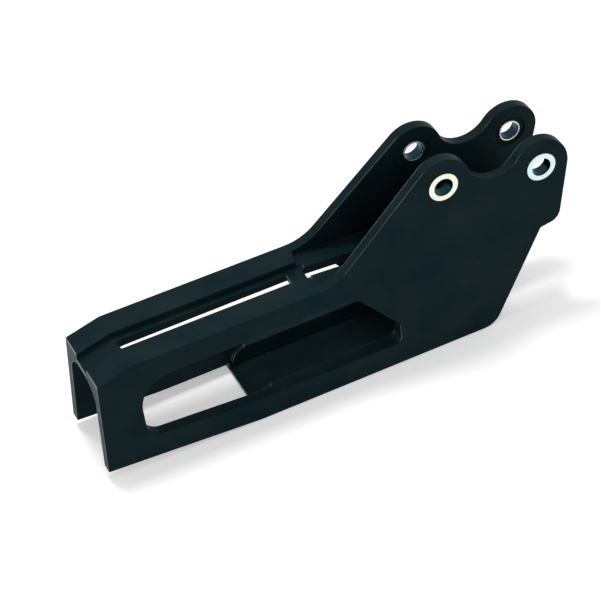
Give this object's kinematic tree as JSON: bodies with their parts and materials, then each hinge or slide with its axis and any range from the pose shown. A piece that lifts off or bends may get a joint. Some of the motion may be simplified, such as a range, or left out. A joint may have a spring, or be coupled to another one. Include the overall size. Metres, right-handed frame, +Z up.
{
  "type": "motorcycle chain guide",
  "caption": "Moulded chain guide for a motorcycle swingarm: a channel with side windows, a slotted top and a rear fork of bushed ears for the mounting bolts.",
  "frame": {"origin": "centre of the guide's length and width, at the level of its flat bottom edge", "axes": "+X along the guide from the chain's entry to the ears, +Y across the guide, +Z up from the bottom edge towards the ears"},
  "size_m": [0.216, 0.0402, 0.0915],
  "materials": {
    "housing": "satin black moulded plastic",
    "bush": "bright plated steel"
  },
  "bodies": {
    "root": {"guide_body": "housing", "bush_front_near": "bush", "bush_front_far": "bush", "bush_rear_near": "bush", "bush_rear_far": "bush"}
  },
  "joints": []
}
